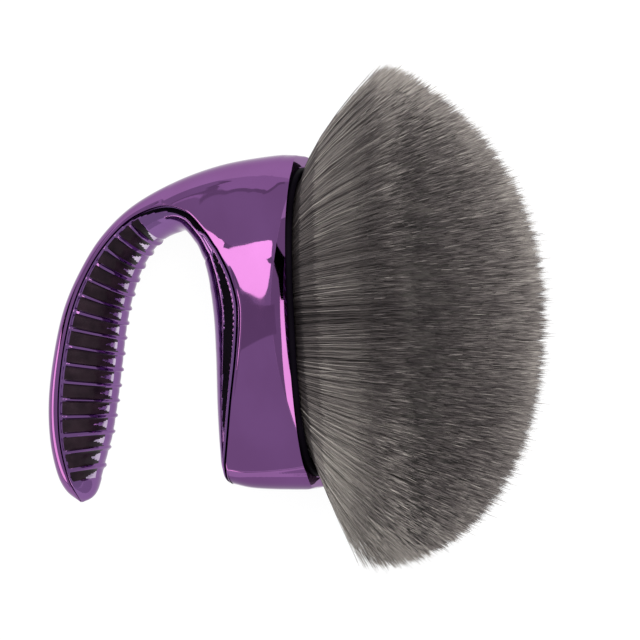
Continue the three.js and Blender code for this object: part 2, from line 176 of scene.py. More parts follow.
def half_thickness(sections, points, across):
    """Half the handle's thickness at points, which lie a share across of the way from seam to outline."""
    early = sections.t * LAST < ARCH_START
    depth = np.where(early, np.minimum(EDGE_ROUND, sections.depth), EDGE_ROUND)[:, None]
    left = 1 - np.minimum(edge_distance(points) / np.maximum(depth, 1e-6), 1)
    rounded = np.sqrt(np.maximum(0, 1 - left * left))
    q = points[..., 1] * math.cos(MOUTH_SLANT) - points[..., 0] * math.sin(MOUTH_SLANT)
    oval = (1 - (np.minimum(np.abs(q), EVEN_FROM) / FLANK_LENGTH) ** OVAL_POWER) ** (1 / OVAL_POWER)
    spread = sections.flare[:, None] * ((1 - LIP_SHARE) * across + LIP_SHARE * across ** LIP_POWER)
    return rounded * lerp(sections.half[:, None], FLANK_DEPTH * oval, spread)


# ---- meshes --------------------------------------------------------------------------------------
def tilt(points):
    """Points u v w of the brush plane, turned to lie as on the table."""
    u, v, w = points[..., 0], points[..., 1], points[..., 2]
    c, s = math.cos(REST_TILT), math.sin(REST_TILT)
    return np.stack([u * c - w * s, v, u * s + w * c], -1)


def from_mouth(points):
    """Points p q w of the mouth's frame, in the brush plane."""
    p, q, w = points[..., 0], points[..., 1], points[..., 2]
    c, s = math.cos(MOUTH_SLANT), math.sin(MOUTH_SLANT)
    return np.stack([p * c - q * s, p * s + q * c, w], -1)


def make_mesh(name, vertices, faces, face_slots=None):
    """A mesh from arrays of corners and of faces with equal numbers of corners."""
    mesh = bpy.data.meshes.new(name)
    faces = np.asarray(faces, np.int32)
    mesh.vertices.add(len(vertices))
    mesh.vertices.foreach_set("co", np.asarray(vertices, np.float32).ravel())
    mesh.loops.add(faces.size)
    mesh.loops.foreach_set("vertex_index", faces.ravel())
    mesh.polygons.add(len(faces))
    mesh.polygons.foreach_set("loop_start", np.arange(0, faces.size, faces.shape[1], dtype=np.int32))
    if face_slots is not None:
        mesh.polygons.foreach_set("material_index", np.asarray(face_slots, np.int32).ravel())
    mesh.update(calc_edges=True)
    return mesh


def loft(name, rings, ends="capped", face_slots=None):
    """An object lofted through rings, an array of ring, point, u v w; ends are capped, pinched or looped."""
    count, size = rings.shape[:2]
    i = np.arange(count if ends == "looped" else count - 1)[:, None]
    j = np.arange(size)[None, :]
    a, b = i * size + j, i * size + (j + 1) % size
    c, d = (i + 1) % count * size + (j + 1) % size, (i + 1) % count * size + j
    quads = np.stack([a, b, c, d], -1).reshape(-1, 4)
    mesh = make_mesh(name, rings.reshape(-1, 3), quads, face_slots)
    built = bmesh.new()
    built.from_mesh(mesh)
    if ends == "capped":
        built.verts.ensure_lookup_table()
        for first in (0, (count - 1) * size):
            built.faces.new([built.verts[first + k] for k in range(size)])
    bmesh.ops.remove_doubles(built, verts=built.verts, dist=1e-5)
    bmesh.ops.dissolve_degenerate(built, edges=built.edges, dist=1e-6)
    bmesh.ops.recalc_face_normals(built, faces=built.faces)
    built.to_mesh(mesh)
    built.free()
    obj = bpy.data.objects.new(name, mesh)
    bpy.context.scene.collection.objects.link(obj)
    return obj


def cut_away(obj, tool):
    """Cuts the tool out of obj, and removes the tool."""
    change = obj.modifiers.new("cut", "BOOLEAN")
    change.operation, change.solver, change.object = "DIFFERENCE", "MANIFOLD", tool
    graph = bpy.context.evaluated_depsgraph_get()
    mesh = bpy.data.meshes.new_from_object(obj.evaluated_get(graph))
    mesh.materials.clear()
    obj.modifiers.clear()
    obj.data = mesh
    bpy.data.objects.remove(tool)


def place(obj, smooth_below=38):
    """Turns a piece made in millimetres in the brush plane to its place in the row frame, in metres."""
    mesh = obj.data
    co = np.empty(len(mesh.vertices) * 3, np.float32)
    mesh.vertices.foreach_get("co", co)
    placed = (tilt(co.reshape(-1, 3)) + BRUSH_ORIGIN) * MM
    mesh.vertices.foreach_set("co", placed.astype(np.float32).ravel())
    mesh.shade_smooth()
    mesh.set_sharp_from_angle(angle=math.radians(smooth_below))
    mesh.update()


def finish_piece(obj, slot, materials, *nodes):
    """Gives a piece its materials, and lets it ride in the place of CAD nodes."""
    for material in materials:
        obj.data.materials.append(material)
    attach(obj, "root")
    if nodes:
        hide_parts(*nodes)


def section_points(sections, run, width):
    """Points of each section, given how far they lie outwards of the seam and across the brush."""
    outward = (sections.outer - sections.seam) / np.maximum(sections.depth, 1e-6)[:, None]
    flat = sections.seam[:, None] + outward[:, None] * run[..., None]
    return np.concatenate([flat, np.broadcast_to(width, run.shape)[..., None]], -1)


# ---- handle shell --------------------------------------------------------------------------------
RIM_FILLET = 0.55       # rounding of the shell's rim where it meets the cover
FILLET_STEPS = 4
SHELL_ROWS = 30
SHELL_STEPS = 480
HOLLOW_ARC = 16
END_WALL = 2e-5         # share of the handle over which its hollow starts and stops


def split_at(shares, *stops):
    """The shares, with a close pair at each stop, so that a hollow there ends in a flat wall."""
    extra = [s + side * END_WALL for s in stops for side in (-1, 1)]
    return np.unique(np.concatenate([shares, extra]))


def shell_rings():
    """The shell's rings: the outside from rim to rim, then the seat face with its hollow."""
    ends = HOLLOW_FROM / LAST, HOLLOW_TO / LAST
    sections = Sections(split_at(np.linspace(0, 1, SHELL_STEPS + 1), *ends))
    across = np.sin(np.linspace(0, 1, SHELL_ROWS + 1) * math.pi / 2)
    points = sections.seam[:, None] + (sections.outer - sections.seam)[:, None] * across[None, :, None]
    depth = half_thickness(sections, points, across[None, :])
    depth[0] = depth[-1] = 0
    near = np.concatenate([points, depth[..., None]], -1)
    radius = np.minimum(RIM_FILLET, np.minimum(depth[:, 0], sections.depth) * 0.4)[:, None]
    turn = np.linspace(0, math.pi / 2, FILLET_STEPS + 1)[None, :]
    rim = section_points(sections, radius * (1 - np.cos(turn)), depth[:, :1] - radius * (1 - np.sin(turn)))
    near = np.concatenate([rim, near[:, 1:]], 1)
    far = near[:, ::-1] * np.array([1, 1, -1])

    # the seat face, with the hollow where there is one
    hollow = (sections.t > ends[0]) & (sections.t < ends[1])
    on_block = smoothstep(sections.t * LAST, HOLLOW_DEEP_UNTIL, HOLLOW_SHALLOW_FROM)
    reach = lerp(np.minimum(sections.depth, EDGE_ROUND) - WALL, HOLLOW_RECESS, on_block)[:, None]
    groove = TONGUE_REACH + SEAT_GAP
    half = np.maximum(sections.half - WALL, 0)[:, None]
    arc = np.linspace(-math.pi / 2, math.pi / 2, HOLLOW_ARC + 1)[None, :]
    flush = np.zeros_like(reach)
    run = np.concatenate([flush, groove + (reach - groove) * np.cos(arc), flush], 1)
    width = np.concatenate([-half, half * np.sin(arc), half], 1)
    width = np.where(hollow[:, None], width, np.clip(width, -0.5 * depth[:, :1], 0.5 * depth[:, :1]))
    seat = section_points(sections, np.where(hollow[:, None], run, 0), width)
    return np.concatenate([near, far, seat], 1)


def oval(p, length, depth, turn, power=OVAL_POWER):
    """Points of an oval in the mouth's frame; turn 0 is the end towards the arch."""
    c, s = np.cos(turn), np.sin(turn)
    q = length * np.sign(c) * np.abs(c) ** (2 / power)
    w = depth * np.sign(s) * np.abs(s) ** (2 / power)
    return np.stack(np.broadcast_arrays(p, q, w), -1)


OVAL_TURNS = np.linspace(0, 2 * math.pi, 160, endpoint=False)


def oval_body(name, levels, ends="capped"):
    """A body through ovals, each given as p, half length, half depth and perhaps a power."""
    rings = np.stack([oval(*level[:3], OVAL_TURNS, *level[3:]) for level in levels])
    return loft(name, from_mouth(rings), ends)


SHELL_RINGS = shell_rings()


def brush_origin():
    """Where u = v = w = 0 lies in the row frame, in millimetres, from the place of the CAD's shell."""
    low, high = (np.array(corner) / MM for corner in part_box("handle_shell"))
    own = tilt(SHELL_RINGS).reshape(-1, 3)
    middle = (low + high) / 2 - (own.min(0) + own.max(0)) / 2
    return np.array([middle[0], middle[1], low[2] - own.min(0)[2]])


BRUSH_ORIGIN = brush_origin()


# The mouth's ovals, as half length, half depth and perhaps a power; the cup's seat has p before them.
FLANGE_POWER = 2.7
COLLAR_SEAT, FLANGE_SEAT = (38.4, 21.2), (40.4, 25.4, FLANGE_POWER)
CUP_SEAT = [(-11, 32.9, 14.3), (-2.8, 37, 20.9)]


def handle_shell():
    """The shell, with the stepped seat of the cup and the collar cut into its mouth."""
    shell = loft("plated_shell", SHELL_RINGS, "pinched")
    cut_away(shell, oval_body("collar_seat", [(-3.3, *COLLAR_SEAT), (4, *COLLAR_SEAT)]))
    cut_away(shell, oval_body("cup_seat", CUP_SEAT))
    cut_away(shell, oval_body("flange_seat", [(-0.5, *FLANGE_SEAT), (6, *FLANGE_SEAT)]))
    return shell


# ---- grip cover ----------------------------------------------------------------------------------
COVER_STEP = 0.32       # spacing of the cover's sections along the seam
COVER_ARC = 88          # steps over the crown from rim to rim
RIB_FLANK, RIB_END = (0.2, 0.95), (0.5, 2.4)    # spans over which a rib falls to the cover and to the seam
# The raised border beside the seam, and the distance along the seam over which it rises.
BEAD = {"middle": 0.33, "half": 0.3, "height": 0.15, "rise": (2.5, 6)}
# The cells between the ribs: how deep they are, the span over which their wall falls, how far their floor
# bulges back midway, how far they run on before the first rib and after the last, and how far from the
# seam they start.
CELL = {"recess": 0.5, "wall": (0.3, 0.62), "bulge": 0.2, "before": 3.4, "after": 3.2, "edge": 0.62}
CROWN = (0.25, 0.8)     # across this span of angle from the spine the cells grow from half to full depth
# The bright end of a cell, left plated where the rest of its floor is painted dark as shade and dark
# reflection:
# its reach as an angle from the spine, at a rib and midway, and where the pale painted glint in it starts,
# as an angle from the spine and as a share of the way from the rib to midway.
CELL_END_AND_PAINTED_GLINT = {"near": 0.2, "far": 0.8, "border": 0.3, "middle": 0.5}
# The rippled strip on the side of the block, and the shadow gap under the arch.
STRIP = {"stations": (13.2, 19.1), "recess": 0.45, "pitch": 3.1, "ripple": 0.45, "edge": 0.7, "width": 3.0}
GROOVE = {"stations": (8.3, 10.3, 11.7, 12.5), "depth": 1.1, "width": 1.25, "slope": 0.35}
# The deep parts of the strip and the gap are painted black as shade.
PAINTED_SHADE_FROM = 0.3         # the strip and the gap are dark where they are deeper than this share
# The cover's slots: plating, the cells' painted shade, the painted shade of the strip and gap, and a painted
# glint.
PLATED, PAINTED_CELL_SHADE, PAINTED_SHADE, PAINTED_GLINT = range(4)   # material slots of the cover


def rib_profile(distance):
    """At a distance along the seam: the height of the ribs, the depth of the cells between them, and how
    far it is from the nearest rib as a share of the way to the middle of a cell."""
    last = RIB_FIRST + (RIB_COUNT - 1) * RIB_PITCH
    nearest = np.clip(np.round((distance - RIB_FIRST) / RIB_PITCH), 0, RIB_COUNT - 1)
    away = np.abs(distance - RIB_FIRST - nearest * RIB_PITCH)
    rib = RIB_HEIGHT * (1 - smoothstep(away, *RIB_FLANK))
    inside = (distance > RIB_FIRST - CELL["before"]) & (distance < last + CELL["after"])
    end = np.minimum(distance - RIB_FIRST + CELL["before"], last + CELL["after"] - distance)
    floor = smoothstep(away, *CELL["wall"]) * smoothstep(end, 0, 0.5)
    bulge = CELL["bulge"] * np.sin(np.clip(away / RIB_PITCH, 0, 0.5) * math.pi) ** 2
    midway = np.clip(2 * away / RIB_PITCH, 0, 1)
    return rib, np.where(inside, floor * (CELL["recess"] - bulge), 0), midway


def distance_of(station):
    """How far along the seam a station lies."""
    return np.interp(station / LAST, FINE_T, SEAM_RUN)


def strip_profile(distance, edge):
    """Depth of the rippled strip on the side of the block, which narrows to a point at both ends."""
    start, stop = map(distance_of, STRIP["stations"])
    share = np.clip((distance - start) / (stop - start), 0, 1)
    width = STRIP["width"] * np.sin(share ** 0.8 * math.pi) ** 0.8
    across = smoothstep(edge, STRIP["edge"], STRIP["edge"] + 0.3)
    across = across * smoothstep(edge, STRIP["edge"] + width + 0.2, STRIP["edge"] + width - 0.2)
    ripple = 1 - STRIP["ripple"] * np.sin(distance * 2 * math.pi / STRIP["pitch"]) ** 2
    return STRIP["recess"] * smoothstep(width, 0.3, 1) * across * ripple


def groove_profile(distance, edge):
    """Depth of the shadow gap between the cover and the shell under the arch, a wedge at both ends."""
    rise, full, fall, stop = map(distance_of, GROOVE["stations"])
    share = smoothstep(distance, rise, full) * smoothstep(distance, stop, fall)
    width = GROOVE["width"] * share
    return GROOVE["depth"] * share * smoothstep(edge, width, width - GROOVE["slope"])


def cover_relief(distance, edge, from_spine):
    """How far the cover's surface stands off its plain crown, and the material slot of each point, by the
    distance along the seam, the distance from the seam and the angle from the spine."""
    bead = np.sqrt(np.maximum(0, 1 - ((edge - BEAD["middle"]) / BEAD["half"]) ** 2)) * BEAD["height"]
    bead = bead * smoothstep(distance, *BEAD["rise"])
    rib, cell, midway = rib_profile(distance)
    cell = cell * smoothstep(edge, CELL["edge"] - 0.2, CELL["edge"] + 0.2)
    cell = cell * lerp(0.5, 1, smoothstep(from_spine, *CROWN))
    strip = strip_profile(distance, edge)
    groove = groove_profile(distance, edge)
    lift = bead + rib * smoothstep(edge, *RIB_END) - cell - strip - groove

    # The cells' floors are painted dark as shade and dark reflection, except at their bright ends, which
    # carry a painted glint.
    in_cell = cell > 0.15 * CELL["recess"]
    bright = from_spine < lerp(CELL_END_AND_PAINTED_GLINT["near"], CELL_END_AND_PAINTED_GLINT["far"], midway ** 2)
    painted_glint_mask = bright & (from_spine > CELL_END_AND_PAINTED_GLINT["border"]) & (midway > CELL_END_AND_PAINTED_GLINT["middle"])
    # the deep strip and gap are painted black as shade
    dark = (groove > PAINTED_SHADE_FROM * GROOVE["depth"]) | (strip > PAINTED_SHADE_FROM * STRIP["recess"])
    slots = np.where(in_cell & painted_glint_mask, PAINTED_GLINT, np.where(in_cell & ~bright, PAINTED_CELL_SHADE, PLATED))
    return lift, np.where(dark, PAINTED_SHADE, slots)


def cover_points(sections, inward, width):
    """Points of each section, given how far they lie inwards of the seam and across the brush."""
    flat = sections.seam[:, None] + sections.inward[:, None] * inward[..., None]
    return np.concatenate([flat, width[..., None]], -1)


def cover_top(sections, half):
    """Points of the cover's outer surface from rim to rim, and their material slots."""
    distance = np.interp(sections.t, FINE_T, SEAM_RUN)[:, None]
    crown = sections.crown[:, None]
    turn = np.linspace(0, math.pi, COVER_ARC + 1)[None, :]
    inward, width = crown * np.sin(turn), half * np.cos(turn)
    normal = np.stack([half * np.sin(turn), crown * np.cos(turn)], -1)
    normal /= np.maximum(np.linalg.norm(normal, axis=-1, keepdims=True), 1e-6)
    steps = np.hypot(np.diff(inward, axis=1), np.diff(width, axis=1))
    arc = np.concatenate([np.zeros_like(half), np.cumsum(steps, 1)], 1)
    edge = np.minimum(arc, arc[:, -1:] - arc)
    lift, slots = cover_relief(distance, edge, np.abs(turn - math.pi / 2))
    inward = SEAT_GAP + inward + lift * normal[..., 0]
    return cover_points(sections, inward, width + lift * normal[..., 1]), slots


def cover_underside(sections, half, hollow):
    """Points of the seat, and within the hollow's reach of the tongue and the hollow."""
    tongue = np.maximum(sections.half - WALL - SEAT_GAP, 0)[:, None]
    inner = np.maximum(tongue - TONGUE_WALL, 0)
    back = np.linspace(-math.pi / 2, math.pi / 2, HOLLOW_ARC + 1)[None, :]
    vault = SEAT_GAP + np.maximum(sections.crown[:, None] - COVER_WALL, 0) * np.cos(back)
    down = np.full_like(tongue, -TONGUE_REACH)
    level = np.full_like(tongue, SEAT_GAP)
    inward = np.concatenate([level, down, down, vault, down, down, level], 1)
    width = np.concatenate([-tongue, -tongue, -inner, inner * np.sin(back), inner, tongue, tongue], 1)
    inward = np.where(hollow, inward, SEAT_GAP)
    width = np.where(hollow, width, np.clip(width, -0.5 * half, 0.5 * half))
    return cover_points(sections, inward, width)


def grip_cover():
    """The cover, which starts and ends just short of the seam's ends."""
    ends = (HOLLOW_FROM + 0.1) / LAST, (HOLLOW_TO - 0.1) / LAST
    shares = share_at(np.arange(0.35, SEAM_RUN[-1] - 0.6, COVER_STEP))
    sections = Sections(split_at(np.concatenate([[0.002], shares, [0.992]]), *ends))
    half = half_thickness(sections, sections.seam[:, None], np.zeros((1, 1)))
    hollow = ((sections.t > ends[0]) & (sections.t < ends[1]))[:, None]
    top, top_slots = cover_top(sections, half)
    under = cover_underside(sections, half, hollow)
    slots = np.concatenate([top_slots, np.full(under.shape[:2], PLATED)], 1)
    face_slots = np.minimum(slots[:-1], slots[1:])
    return loft("ribbed_cover", np.concatenate([top, under], 1), "capped", face_slots)


# ---- trim collar ---------------------------------------------------------------------------------
COLLAR_SKIRT, COLLAR_BORE = (38.1, 20.9), (36.7, 19.7)
COLLAR_FLANGE = (40, 25.1, FLANGE_POWER)
BULGE_MIDDLE, BULGE_REACH = (0.2, 39.2, 24.5), (1.2, 1, 0.8)    # p, half length and half depth


def mouth_collar():
    """A ring seated in the shell, whose thin rounded flange covers the mouth's edge."""
    (p, length, depth), (out, wide, deep) = BULGE_MIDDLE, BULGE_REACH
    bulge = [
        (p + out * math.sin(a), length + wide * math.cos(a), depth + deep * math.cos(a), FLANGE_POWER)
        for a in np.linspace(0, math.pi, 13)
    ]
    levels = [
        (-3, *COLLAR_SKIRT), (-0.4, *COLLAR_SKIRT), (-0.4, *COLLAR_FLANGE), *bulge,
        (-0.6, 37.4, 20), (-1.4, *COLLAR_BORE), (-3, *COLLAR_BORE),
    ]
    return oval_body("trim_collar", levels, "looped")


# ---- fibres --------------------------------------------------------------------------------------
HALF_LENGTH, HALF_DEPTH, PACK_MIDDLE, APEX = 65, 37.5, 1.3, 60.3
# A pair is the value at the sides of the pack, and what is added at the end towards the arch.
RIM_ENDS, RIM_SIDES = (17.5, 2), 28     # how far out the dome's rim lies, at the pack's ends and sides
DOME_POWER, DOME_FULLNESS, FLANK_CURVE = 2.3, (0.64, 0.14), (1.32, 0.1)
STRAND_MOUTH, STRAND_THROAT = (1.5, 38.6, 23.4), (-1.6, 35.3, 18.3)     # p, half length and half depth
CORE_INSET = 0.955      # how far in the core's flank lies, as a share of the pack's
CORE_REACH = 0.95       # how far out the core's dome lies, as a share of the strands' length


def towards_end(pair, turn):
    """The value of a pair at a turn: less at the end away from the arch, more at the end towards it."""
    return pair[0] + pair[1] * np.cos(turn)


def tip_point(turn, rho):
    """Where a strand ends on the dome: turn goes round the brush, rho from the middle 0 to the rim 1."""
    rim_u = lerp(towards_end(RIM_ENDS, turn), RIM_SIDES, np.sin(turn) ** 2)
    rise = np.maximum(0, 1 - rho ** DOME_POWER) ** towards_end(DOME_FULLNESS, turn)
    return np.stack([
        lerp(rim_u, APEX, rise),
        PACK_MIDDLE + HALF_LENGTH * np.cos(turn) * rho,
        HALF_DEPTH * np.sin(turn) * rho,
    ], -1)


def strand_points(turn, rho, along):
    """Points of strands at the shares along, an array of strand, point, u v w. Shares below 0 lie in the
    mouth."""
    turn, rho = turn[:, None], rho[:, None]
    mouth, throat = (
        from_mouth(oval(p, length * rho, depth * rho, turn))
        for p, length, depth in (STRAND_MOUTH, STRAND_THROAT)
    )
    tip = tip_point(turn, rho)
    curve = 1 + (towards_end(FLANK_CURVE, turn) - 1) * rho ** 2
    s = np.maximum(along, 0)[..., None]
    out = np.concatenate([
        lerp(mouth[..., :1], tip[..., :1], s ** curve[..., None]),
        lerp(mouth[..., 1:], tip[..., 1:], s),
    ], -1)
    inside = lerp(mouth, throat, np.clip(-along, 0, 1)[..., None])
    return np.where((along < 0)[..., None], inside, out)


CORE_ROOT = ((-6.2, 32.2, 15.1), (-3.7, 33.2, 16.9), (1.2, 36, 20.2))     # ovals of the core in the mouth
CORE_POINTS = 720


def fibre_core():
    """The dense body of the pack below its outer strands, combed in fine grooves."""
    turn = np.linspace(0, 2 * math.pi, CORE_POINTS, endpoint=False)
    groove = 0.35 * np.sin(turn * 97) * np.sin(turn * 41 + 1) + 0.25 * np.sin(turn * 157 + 2)
    levels = [from_mouth(oval(*level, turn)) for level in CORE_ROOT]
    flank = [(s, 1, s) for s in np.linspace(0, 1, 16)]
    dome = [(1, rho, rho) for rho in np.linspace(0.98, 0.06, 22)]
    for share, rho, comb in flank + dome:
        outline = CORE_INSET * rho * (1 + groove / 45 * comb)
        along = np.full((CORE_POINTS, 1), share * CORE_REACH)
        levels.append(strand_points(turn, outline, along)[:, 0])
    return loft("fibre_core", np.stack(levels))


LOCK_SIZE = 2.4         # tips draw together into locks of about this size
LOCK_PULL = 0.3
TONES = 8


def hashed(i, j, seed):
    """A repeatable number from 0 to 1 for each pair of whole numbers."""
    x = np.sin(i * 127.1 + j * 311.7 + seed * 74.7) * 43758.5453
    return x - np.floor(x)


def gather_locks(points, grown):
    """Leans neighbouring strands to a shared middle, more towards their tips, and returns the tone of each
    strand's lock."""
    tip = points[:, -1]
    i, j = np.floor(tip[:, 1] / LOCK_SIZE), np.floor(tip[:, 2] / LOCK_SIZE)
    middle = np.stack([i + 0.2 + 0.6 * hashed(i, j, 1), j + 0.2 + 0.6 * hashed(i, j, 2)], -1) * LOCK_SIZE
    points[..., 1:] += (middle - tip[:, 1:])[:, None] * LOCK_PULL * grown ** 2
    points[..., 0:1] += ((hashed(i, j, 4) - 0.5) * 0.6)[:, None, None] * grown ** 2
    return hashed(i, j, 3)


def straying(rng, along, grown, strays):
    """How far each strand strays from its path, and waves about it."""
    count = len(along)
    stray = rng.normal(0, strays, (count, 1, 3)) * grown ** 1.5
    phase = rng.random((count, 1, 3)) * 2 * math.pi
    waves = 9 + 8 * rng.random((count, 1, 1))
    return stray + 0.12 * np.sin(phase + along[..., None] * waves) * grown


def tube_corners(rng, points, turn, radius, share):
    """Corners of three-sided tubes, thin at the tip: an array of strand, point, corner, u v w."""
    count = len(points)
    run = np.gradient(points, axis=1)
    run /= np.linalg.norm(run, axis=-1, keepdims=True)
    out = np.array([0.25, 0, 1.0]) * np.sign(np.sin(turn) + 1e-9)[:, None, None]
    side = np.cross(run, out)
    side /= np.linalg.norm(side, axis=-1, keepdims=True)
    up = np.cross(side, run)
    taper = np.minimum(1, (1.04 - share) / 0.5) ** 0.8
    thick = radius * (0.75 + 0.5 * rng.random(count))[:, None] * taper[None, :]
    spin = rng.random(count) * 2 * math.pi
    corners = []
    for k in range(3):
        angle = spin + k * 2 * math.pi / 3
        offset = side * np.cos(angle)[:, None, None] + up * np.sin(angle)[:, None, None]
        corners.append(points + offset * thick[..., None])
    return np.stack(corners, 2)


def tube_faces(count, steps):
    """Triangles of the tubes: all the sides, then the caps at the roots, then those at the tips."""
    base = (np.arange(count) * steps * 3)[:, None, None]
    i, k = np.arange(steps - 1)[None, :, None] * 3, np.arange(3)[None, None, :]
    a, b = base + i + k, base + i + (k + 1) % 3
    sides = np.stack([a, b, b + 3, a, b + 3, a + 3], -1).reshape(-1, 3)
    roots = base[:, 0] + [[0, 2, 1]]
    tips = base[:, 0] + (steps - 1) * 3 + [[0, 1, 2]]
    return np.concatenate([sides, roots, tips])


def make_strands(name, count, seed, span, draw_rho, radius, steps, strays):
    """Strands as one mesh of closed tubes. span is the first and last share along the strand, draw_rho
    draws how far out each lies, and strays is how far it wanders. Each face's material slot is its tone."""
    rng = np.random.default_rng(seed)
    turn = rng.random(count) * 2 * math.pi
    rho = draw_rho(rng, count)
    reach = rng.normal(-0.006, 0.016, count)
    longer = rng.random(count) < 0.05
    reach += np.where(longer, rng.random(count) * 0.03, 0)
    share = np.linspace(0, 1, steps)
    along = span[0] + (span[1] + reach[:, None] - span[0]) * share[None, :]
    grown = np.clip(along, 0, None)[..., None]
    points = strand_points(turn, rho, along)
    lock_tone = gather_locks(points, grown)
    points += straying(rng, along, grown, strays)

    # a strand that would reach below the table lies on it
    placed = tilt(tube_corners(rng, points, turn, radius, share)) + BRUSH_ORIGIN
    placed[..., 2] = np.maximum(placed[..., 2], 0.02 + 0.15 * rng.random((count, 1, 1)))

    # each face's tone: painted light and shade along the strand, plus its lock's and its own random tone
    tone = strand_tone((along[:, :-1] + along[:, 1:]) / 2, rho[:, None], turn[:, None])
    tone += 0.9 * (lock_tone - 0.5)[:, None] + rng.normal(0, 1.25, (count, 1))
    tone = np.clip(np.round(tone), 0, TONES - 1).astype(int)
    slots = np.concatenate([np.repeat(tone.ravel(), 6), tone[:, 0], tone[:, -1]])
    mesh = make_mesh(name, placed.reshape(-1, 3) * MM, tube_faces(count, steps), slots)
    mesh.shade_smooth()
    obj = bpy.data.objects.new(name, mesh)
    bpy.context.scene.collection.objects.link(obj)
    return obj


def strand_tone(along, rho, turn):
    """The tone, from 0 dark to TONES - 1 light: painted shade in the mouth and where the dome starts, and
    painted light towards the pack's two ends, the middle of its dome and the very tips. up is 1 at the end
    towards the arch and -1 at the other."""
    grown = np.clip(along, 0, 1)
    up = np.cos(turn)
    end = np.abs(up) ** (0.9 + 0.3 * up) * rho ** 6
    body = -0.2 + 3.7 * smoothstep(grown, 0.09, 0.4)
    inwards = np.maximum(1 - rho ** 2, 0)
    flank = smoothstep(rho, 0.93, 0.97)
    shade = (3.7 + rho ** 16 - 1.2 * smoothstep(np.abs(up), 0.7, 1)) * (1 - 0.6 * flank)
    dome = 4.1 * inwards ** 0.8 + 0.7 * up * rho - shade
    tip = (1.3 - flank + 1.2 * up ** 2 * rho ** 4) * smoothstep(grown, 0.94, 1)
    corner = 2 * np.maximum(up, 0) ** 8 * rho ** 6 * smoothstep(grown, 0.7, 1)
    return body + dome * smoothstep(grown, 0.75, 0.92) + (3.6 - 1.6 * up) * end + tip + corner


# ---- materials -----------------------------------------------------------------------------------
def principled(name, **values):
    """A new material with its node tree and shader, whose sockets are set from the values."""
    material = bpy.data.materials.new(name)
    material.use_nodes = True
    shader = material.node_tree.nodes["Principled BSDF"]
    for key, value in values.items():
        shader.inputs[key.replace("_", " ")].default_value = value
    return material, material.node_tree, shader


def noise(tree, scale, detail=3, stretch=(1, 1, 1)):
    """A noise in the object's own space, from 0 to 1."""
    position = tree.nodes.new("ShaderNodeTexCoord")
    mapping = tree.nodes.new("ShaderNodeMapping")
    mapping.inputs["Scale"].default_value = stretch
    texture = tree.nodes.new("ShaderNodeTexNoise")
    texture.inputs["Scale"].default_value = scale
    texture.inputs["Detail"].default_value = detail
    tree.links.new(position.outputs["Object"], mapping.inputs["Vector"])
    tree.links.new(mapping.outputs["Vector"], texture.inputs["Vector"])
    return texture.outputs["Fac"]


def spread(tree, value, low, high):
    """Maps a noise value's usual range to low and high."""
    node = tree.nodes.new("ShaderNodeMapRange")
    node.inputs["From Min"].default_value, node.inputs["From Max"].default_value = 0.3, 0.7
    node.inputs["To Min"].default_value, node.inputs["To Max"].default_value = low, high
    tree.links.new(value, node.inputs["Value"])
    return node.outputs["Result"]


def ramp(tree, value, stops):
    node = tree.nodes.new("ShaderNodeValToRGB")
    points = node.color_ramp.elements
    while len(points) < len(stops):
        points.new(0.5)
    for point, (at, colour) in zip(points, stops):
        point.position, point.color = at, (*colour, 1)
    tree.links.new(value, node.inputs["Fac"])
    return node.outputs["Color"]


def add_bump(tree, shader, height, strength, distance):
    node = tree.nodes.new("ShaderNodeBump")
    node.inputs["Strength"].default_value = strength
    node.inputs["Distance"].default_value = distance
    tree.links.new(height, node.inputs["Height"])
    tree.links.new(node.outputs["Normal"], shader.inputs["Normal"])


def plated_material(name, dark, light, rough):
    """Mirror-bright metallised plastic: a faint drift of hue, fine haze and the moulding's long waves."""
    material, tree, shader = principled(name, Metallic=1.0, Specular_Tint=(0.66, 0.58, 0.68, 1))
    tree.links.new(ramp(tree, noise(tree, 45), [(0.3, dark), (0.7, light)]), shader.inputs["Base Color"])
    tree.links.new(spread(tree, noise(tree, 160, 4), *rough), shader.inputs["Roughness"])
    add_bump(tree, shader, noise(tree, 60, 1), 0.02, 0.001)
    return material


def strand_materials():
    """The fibre's tones, from the shaded roots to the pale tips: lit and shaded copies of one fibre colour,
    which carry painted light and shade.
    """
    dark, light = np.array((0.020, 0.0158, 0.0163)), np.array((0.35, 0.32, 0.288))
    made = []
    for k in range(TONES):
        tone = dark * (light / dark) ** (k / (TONES - 1))
        material, _, _ = principled(f"fibre_tone_{k}", Base_Color=(*tone, 1), Roughness=0.62)
        made.append(material)
    return made


def core_painted_shade_material():
    """Dark fibre seen between the strands, painted dark as the shade deep in the pack, streaked along them.
    """
    material, tree, shader = principled("fibre_core", Roughness=0.85)
    stops = [(0.3, (0.010, 0.009, 0.008)), (0.7, (0.045, 0.04, 0.036))]
    streaks = noise(tree, 420, 3, (0.12, 1, 1))
    tree.links.new(ramp(tree, streaks, stops), shader.inputs["Base Color"])
    add_bump(tree, shader, noise(tree, 900, 2, (0.08, 1, 1)), 0.6, 0.0004)
    return material


def plain_material(name, dark, light, scale, rough, **values):
    """A material between two colours and two roughnesses, with a fine grain."""
    material, tree, shader = principled(name, **values)
    tree.links.new(ramp(tree, noise(tree, scale), [(0.3, dark), (0.7, light)]), shader.inputs["Base Color"])
    tree.links.new(spread(tree, noise(tree, scale * 3), *rough), shader.inputs["Roughness"])
    add_bump(tree, shader, noise(tree, scale * 2), 0.08, 0.0003)
    return material


# ---- the object ----------------------------------------------------------------------------------
plated = plated_material("plated_purple", (0.225, 0.092, 0.262), (0.262, 0.112, 0.315), (0.03, 0.055))
grip = plated_material("grip_purple", (0.20, 0.095, 0.26), (0.24, 0.12, 0.32), (0.07, 0.12))
